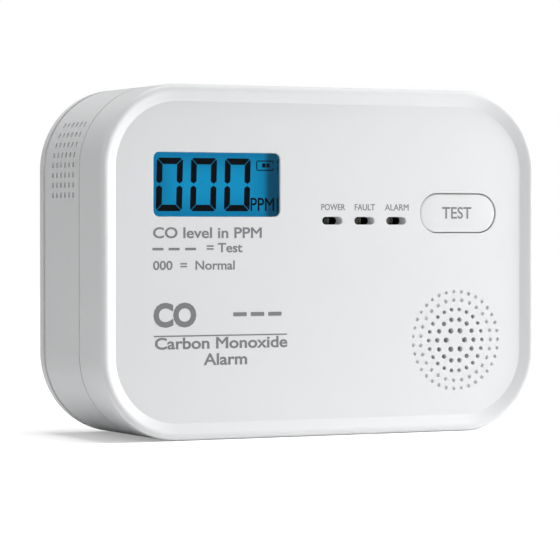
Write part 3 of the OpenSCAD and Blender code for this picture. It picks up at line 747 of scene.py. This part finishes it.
class ALARM_OT_display(bpy.types.Operator):
    """Lit display: pane, glowing glass, three digits, battery sign and unit"""
    bl_idname = "alarm.display"
    bl_label = "Display"

    def execute(self, context):
        show = context.scene.alarm_display
        paint(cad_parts["display_glass"], lit_display("lit blue display", show))
        self.add_pane(context.scene.alarm_case)
        ink = display_segment("display segment", show.ink)
        digits = copies(self.digit(show), [Vector((i * show.digit_pitch, 0, 0)) for i in range(3)])
        piece = gather("display_digits", digits + self.signs())
        finished(piece, "case", "display_glass", ink)
        return {"FINISHED"}

    def add_pane(self, case):
        """Clear pane with a fine polished edge, seated behind the face by its flange."""
        seat, fit, edge = 0.8 * MM, 0.08 * MM, 0.2 * MM
        spot = centre(PANE)
        wide, high = PANE[1].x - PANE[0].x, PANE[1].z - PANE[0].z
        pane = outline("display_pane", wide, high, case.window_corner + FLANGE, spot.x, spot.z, PANE[1].y)
        raise_by(seat)
        step(FLANGE + fit)
        raise_by(PANE[1].y - seat - PANE[0].y - edge)
        round_over(edge, 6)
        close(pane)
        finish_surface(pane)
        finished(pane, "case", "clear_pane", clear_acrylic("clear pane"), "display_window")

    def shape(self, name, corners):
        """A flat shape with the given corners, in the plane just in front of the display glass."""
        y = GLASS[0].y - INK_GAP
        obj = trace(name, [Vector((x, y, z)) for x, z in corners])
        bpy.ops.mesh.edge_face_add()
        bpy.ops.mesh.bevel(affect="VERTICES", offset=0.06 * MM, segments=2)
        return thicken(obj, 0.02 * MM)

    def digit(self, show):
        """Six segments round an open middle, mitred with fine gaps, leaning slightly."""
        w, h, t = show.digit_width, show.digit_height, show.stroke
        gap, cut = 0.1 * MM, 0.25 * MM
        left = -41.4 * MM
        foot = MID_Z + 11.5 * MM
        lean = math.tan(math.radians(1.4))
        top = [(2 * cut, h), (w - 2 * cut, h), (w - cut - gap, h - cut), (w - t - gap, h - t),
               (t + gap, h - t), (cut + gap, h - cut)]
        side_top = [(0, h - 2 * cut), (0, h / 2 + 0.5 * t), (t / 2, h / 2 + 2 * gap), (t, h / 2 + 0.5 * t),
                    (t, h - t - gap), (cut, h - cut - gap)]
        flip = [(x, h - z) for x, z in top]
        side_low = [(x, h - z) for x, z in side_top]
        others = [[(w - x, z) for x, z in side] for side in (side_top, side_low)]
        parts = []
        for corners in [top, flip, side_top, side_low] + others:
            parts.append(self.shape("segment", [(left + x + lean * z, foot + z) for x, z in corners]))
        return gather("digit", parts)

    def signs(self):
        """Battery sign at the upper right and the unit at the lower right."""
        bars = [(-16.1, 22.85, 3.9, 0.25), (-16.1, 20.75, 3.9, 0.25), (-16.35, 20.95, 0.25, 1.95),
                (-12.25, 20.75, 0.25, 0.6), (-12.25, 22.5, 0.25, 0.6), (-14.85, 21.5, 0.85, 0.95),
                (-13.8, 21.5, 0.85, 0.95)]
        made = []
        for x, z, w, h in bars:
            x, z, w, h = x * MM, MID_Z + z * MM, w * MM, h * MM
            made.append(self.shape("bar", [(x, z), (x + w, z), (x + w, z + h), (x, z + h)]))
        made.append(lettering("unit", "PPM", -17.8 * MM, MID_Z + 11.6 * MM, 3.0 * MM, 6.0 * MM,
                              GLASS[0].y - INK_GAP, 0.012, "LEFT"))
        return made


class ALARM_OT_printing(bpy.types.Operator):
    """Printed lettering on the face: plain words that say what each thing is"""
    bl_idname = "alarm.printing"
    bl_label = "Printing"

    lines = (
        # words, left or middle, foot, height, width, weight, anchor
        ("POWER", 2.2, 11.8, 1.45, 6.2, 0.012, "CENTER"),
        ("FAULT", 10.45, 11.8, 1.45, 5.3, 0.012, "CENTER"),
        ("ALARM", 18.85, 11.8, 1.45, 6.3, 0.012, "CENTER"),
        ("CO level in PPM", -43.1, 5.4, 2.5, 27.0, 0.02, "LEFT"),
        ("= Test", -29.9, 2.2, 2.15, 8.9, 0.02, "LEFT"),
        ("000  =  Normal", -43.1, -1.7, 2.1, 20.2, 0.02, "LEFT"),
        ("CO", -43.0, -14.6, 5.6, 10.5, 0.045, "LEFT"),
        ("Carbon Monoxide", -42.7, -19.5, 2.7, 33.1, 0.025, "LEFT"),
        ("Alarm", -30.7, -23.2, 2.7, 10.9, 0.025, "LEFT"),
    )
    bars = (
        # left ends, middle, width, height
        ((-43.25, -39.3, -35.25), 3, 2.7, 0.55),
        ((-42.9,), -16.5, 33.2, 0.3),
        ((-23.3, -18.9, -14.5), -11.8, 3.4, 0.9),
    )

    def execute(self, context):
        ink = context.scene.alarm_print
        y = levels()[0] - ink.film / 2
        made = []
        for words, x, foot, high, wide, weight, anchor in self.lines:
            made.append(lettering("print", words, x * MM, MID_Z + foot * MM, high * MM, wide * MM, y,
                                  weight, anchor))
        for lefts, middle, wide, high in self.bars:
            places = [Vector(((left + wide / 2) * MM, 0, MID_Z + middle * MM)) for left in lefts]
            made += copies(self.bar(places[0], wide * MM, high * MM, y, ink.film), places)
        piece = gather("face_printing", made)
        finished(piece, "case", "case_plastic", printed_material())
        return {"FINISHED"}

    def bar(self, spot, wide, high, y, film):
        """A printed bar with slightly round corners."""
        return thicken(outline("bar", wide, high, high / 5, spot.x, spot.z, y, steps=3), film)


def paint(obj, material):
    """Gives a carried-over node its material."""
    obj.data.materials.clear()
    obj.data.materials.append(material)


class ALARM_OT_cells(bpy.types.Operator):
    """Two AA cells: steel can, crimped ends, raised contact and a shrunk printed sleeve"""
    bl_idname = "alarm.cells"
    bl_label = "Cells"

    skin = 0.15 * MM    # thickness of the sleeve
    contact = 1 * MM    # height of the raised contact

    def execute(self, context):
        can = metal("nickel-plated cell can", "#c4c7cb", 0.22)
        for name, turn in (("upper_battery", -1), ("lower_battery", 1)):
            low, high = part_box(name)
            radius, long = (high.z - low.z) / 2, high.x - low.x
            spot = Vector((low.x if turn > 0 else high.x, (low.y + high.y) / 2, (low.z + high.z) / 2))
            axis = Vector((turn, 0, 0))
            self.add_can(name, spot, axis, radius, long, can)
            self.add_sleeve(name, spot, axis, radius, long, turn)
        return {"FINISHED"}

    def add_can(self, name, spot, axis, radius, long, material):
        """The can with a dished base, a crimp groove near its top and the raised contact."""
        r, skin, top = radius, self.skin, long - self.contact
        profile = [(0, 0.0), (3.2 * MM, 0.0), (3.6 * MM, 0.25 * MM), (r - 1.1 * MM, 0.25 * MM),
                   (r - 0.7 * MM, 0.0), (r - 0.35 * MM, 0.12 * MM), (r - skin, 0.5 * MM),
                   (r - skin, top - 1.2 * MM), (r - 0.5 * MM, top - 0.35 * MM),
                   (r - 1.2 * MM, top - 0.05 * MM), (r - 1.7 * MM, top - 0.3 * MM),
                   (3.4 * MM, top - 0.3 * MM), (2.75 * MM, top - 0.1 * MM), (2.75 * MM, long - 0.25 * MM),
                   (2.5 * MM, long), (0, long)]
        piece = finish_surface(lathe(name + "_can", profile, spot, axis), 40)
        finished(piece, "case", "cell_sleeve", material, name)

    def add_sleeve(self, name, spot, axis, radius, long, turn):
        """A thin printed sleeve that turns over the shoulders."""
        r, skin, top = radius, self.skin, long - self.contact
        profile = [(r - 0.9 * MM, 0.2 * MM), (r - 0.3 * MM, 0.1 * MM), (r, 0.55 * MM), (r, top - 1.2 * MM),
                   (r - 0.35 * MM, top - 0.3 * MM), (r - 1.1 * MM, top), (r - 1.1 * MM, top - 0.15 * MM),
                   (r - 0.5 * MM, top - 0.5 * MM), (r - skin, top - 1.3 * MM), (r - skin, 0.6 * MM),
                   (r - 0.45 * MM, 0.3 * MM), (r - 0.9 * MM, 0.3 * MM), (r - 0.9 * MM, 0.2 * MM)]
        piece = finish_surface(lathe(name + "_sleeve", profile, spot, axis), 40)
        band = spot.x + turn * 0.78 * long
        material = printed_sleeve(name.replace("_", " ") + " sleeve", band, turn)
        finished(piece, "case", "cell_sleeve", material, name)


class ALARM_OT_lamps(bpy.types.Operator):
    """Three clear round-topped lamps, unlit, each with its two legs and the silvered cup inside"""
    bl_idname = "alarm.lamps"
    bl_label = "Lamps"

    def execute(self, context):
        tints = (("power_led", "green", "#d3e4dc"), ("fault_led", "amber", "#e4dccb"),
                 ("alarm_led", "red", "#e3d2d2"))
        cup = metal("silvered lamp cup", "#c8cbd0", 0.2)
        for name, hue, code in tints:
            low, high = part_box(name)
            r, base = LAMP_R, high.y - 1.6 * MM
            spot = Vector(((low.x + high.x) / 2, base, (low.z + high.z) / 2))
            long = base - low.y
            turns = [math.radians(a) for a in range(0, 90, 9)]
            dome = [(r * math.cos(turn), long - r + r * math.sin(turn)) for turn in turns]
            profile = [(0, 0), (r + 0.3 * MM, 0), (r + 0.3 * MM, 0.9 * MM), (r, 1 * MM)] + dome + [(0, long)]
            lens = finish_surface(lathe(name + "_lens", profile, spot, Vector((0, ROOM, 0)), 40), 40)
            finished(lens, "case", hue + "_lens", clear_epoxy(f"clear epoxy, faintly {hue}", code), name)
            thick, apart, cup_y = 0.5 * MM, 1.27 * MM, base - 2 * MM
            legs = [block("leg", thick, thick, 0, spot.x + side * apart, spot.z, high.y, cup_y)
                    for side in (-1, 1)]
            legs.append(post("cup", 0.9 * MM, spot.x, spot.z, cup_y, base - 2.6 * MM))
            finished(gather(name + "_frame", legs), "case", hue + "_lens", cup, name)
        return {"FINISHED"}


class ALARM_OT_inner_parts(bpy.types.Operator):
    """Materials of the carried-over mouldings, the board and everything on it"""
    bl_idname = "alarm.inner_parts"
    bl_label = "Inner parts"

    def execute(self, context):
        shell = shell_material()
        black = plain_plastic("black moulded nylon", "#1b1c1f", 0.45)
        steel = metal("nickel-plated steel", "#c9ccd0", 0.25)
        lead = plain_plastic("red PVC insulation", "#9c1f27", 0.4)
        finishes = {
            "white": (shell, ("rear_case", "mounting_plate", "battery_door", "display_frame", "sensor_cap")),
            "black": (black, ("switch_plunger", "microcontroller", "sounder_housing", "led_holder")),
            "steel": (steel, ("board_screws", "case_screws", "co_sensor", "switch_body", "terminal_contacts",
                              "series_contact", "contact_springs")),
            "lead": (lead, ("battery_leads", "sounder_leads")),
            "board": (solder_mask("green solder mask"), ("circuit_board",)),
            "light": (plain_plastic("diffusing polycarbonate", "#cfe9f5", 0.4), ("backlight_panel",)),
            "rubber": (plain_plastic("pink silicone rubber", "#d7a6a0", 0.7), ("display_connectors",)),
            "brass": (metal("rolled brass", "#c9a24e", 0.3), ("sounder_disc",)),
            "foam": (plain_plastic("black foam", "#1a1a1c", 0.9, 0.3 * MM), ("sounder_gasket",)),
            "sleeve": (plain_plastic("blue-black capacitor sleeve", "#20283f", 0.3), ("capacitors",)),
            "beige": (plain_plastic("beige resistor lacquer", "#c9ad7c", 0.35), ("resistors",)),
            "copper": (metal("enamelled copper wire", "#a5562c", 0.3, 0.3 * MM), ("sounder_coil",)),
        }
        for material, names in finishes.values():
            for name in names:
                paint(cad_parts[name], material)
        return {"FINISHED"}


class ALARM_OT_stage(bpy.types.Operator):
    """White floor and backdrop, soft studio light and the camera"""
    bl_idname = "alarm.stage"
    bl_label = "Stage"

    def execute(self, context):
        stage = context.scene.alarm_stage
        context.scene.view_settings.view_transform = "Standard"
        self.add_floor(stage)
        self.add_light(stage)
        self.add_camera(context, stage)
        return {"FINISHED"}

    def add_floor(self, stage):
        """A wide flat floor, shown to the camera a little brighter than it is lit."""
        deselect()
        bpy.ops.mesh.primitive_plane_add(size=6, location=(0, 0, 0))
        floor = bpy.context.object
        floor.name = "floor"
        made, tree, shader, place = new_material("pale matt paint", Roughness=0.9)
        mottle(tree, shader, place, tuple(stage.floor), 0.2, 0.01)
        rays = add(tree, "ShaderNodeLightPath")
        lift = add(tree, "ShaderNodeMapRange", {"To Min": 0.0, "To Max": stage.lift},
                   {"Value": rays.outputs["Is Camera Ray"]})
        shader.inputs["Emission Color"].default_value = (1, 1, 1, 1)
        tree.links.new(lift.outputs["Result"], shader.inputs["Emission Strength"])
        floor.data.materials.append(made)

    def add_light(self, stage):
        """An even sky, soft lights at the right and behind, and one above."""
        world = bpy.data.worlds.new("studio")
        bpy.context.scene.world = world
        world.use_nodes = True
        world.node_tree.nodes.clear()
        tree = world.node_tree
        rays = add(tree, "ShaderNodeLightPath")
        level = add(tree, "ShaderNodeMapRange", {"To Min": stage.sky, "To Max": stage.backdrop},
                    {"Value": rays.outputs["Is Camera Ray"]})
        sky = add(tree, "ShaderNodeBackground", {"Color": (1, 1, 1, 1)},
                  {"Strength": level.outputs["Result"]})
        add(tree, "ShaderNodeOutputWorld", links={"Surface": sky.outputs[0]})
        key = self.light("key", "AREA", stage.key, (0.495, -0.17, 0.16))
        key.data.size = 0.22
        back = self.light("back", "AREA", stage.back, (0.1, 1.1, 0.9))
        back.data.size = 0.9
        top = self.light("top", "SUN", stage.top, (0.0, -0.1, 1.2))
        top.data.angle = math.radians(25)

    def light(self, name, kind, power, spot):
        """A light that looks at the alarm and isn't seen itself."""
        deselect()
        bpy.ops.object.light_add(type=kind, location=spot)
        light = bpy.context.object
        light.name = name
        light.data.energy = power
        light.visible_camera = False
        aim = Vector((0, 0, MID_Z)) - Vector(spot)
        light.rotation_euler = aim.to_track_quat("-Z", "Y").to_euler()
        return light

    def add_camera(self, context, stage):
        """The camera looks at a point a little left of and below the face centre, from the left."""
        side, up = stage.azimuth, stage.elevation
        back = Vector((math.sin(side) * math.cos(up), -math.cos(side) * math.cos(up), math.sin(up)))
        aim = Vector((stage.aim_x, levels()[0], MID_Z + stage.aim_z))
        deselect()
        bpy.ops.object.camera_add(location=aim + back * stage.distance)
        camera = bpy.context.object
        camera.data.lens = stage.lens
        camera.data.sensor_width = 36
        camera.data.clip_start, camera.data.clip_end = 0.01, 20
        camera.rotation_euler = (-back).to_track_quat("-Z", "Y").to_euler()
        context.scene.camera = camera


# ---------------------------------------------------------------- add-on

OPERATORS = (
    ALARM_OT_stage,
    ALARM_OT_front_cover,
    ALARM_OT_test_button,
    ALARM_OT_display,
    ALARM_OT_printing,
    ALARM_OT_cells,
    ALARM_OT_lamps,
    ALARM_OT_inner_parts,
)
GROUPS = (("alarm_case", AlarmCase), ("alarm_display", AlarmDisplay), ("alarm_print", AlarmPrint),
          ("alarm_stage", AlarmStage))


class ALARM_PT_panel(bpy.types.Panel):
    """The steps of the build, in order"""
    bl_idname = "ALARM_PT_panel"
    bl_label = "Carbon monoxide alarm"
    bl_space_type = "VIEW_3D"
    bl_region_type = "UI"
    bl_category = "Alarm"

    def draw(self, context):
        for operator in OPERATORS:
            self.layout.operator(operator.bl_idname)


def register():
    """Registers the settings, the operators and the panel."""
    for name, group in GROUPS:
        bpy.utils.register_class(group)
        setattr(bpy.types.Scene, name, bpy.props.PointerProperty(type=group))
    for cls in (*OPERATORS, ALARM_PT_panel):
        bpy.utils.register_class(cls)


def unregister():
    """Removes them again."""
    for cls in (ALARM_PT_panel, *reversed(OPERATORS)):
        bpy.utils.unregister_class(cls)
    for name, group in reversed(GROUPS):
        delattr(bpy.types.Scene, name)
        bpy.utils.unregister_class(group)


def main():
    """Runs every step."""
    register()
    for operator in OPERATORS:
        group, action = operator.bl_idname.split(".")
        result = getattr(getattr(bpy.ops, group), action)()
        if "FINISHED" not in result:
            raise RuntimeError(f"{operator.bl_idname} did not finish")
    deselect()


if __name__ == "__main__":
    main()
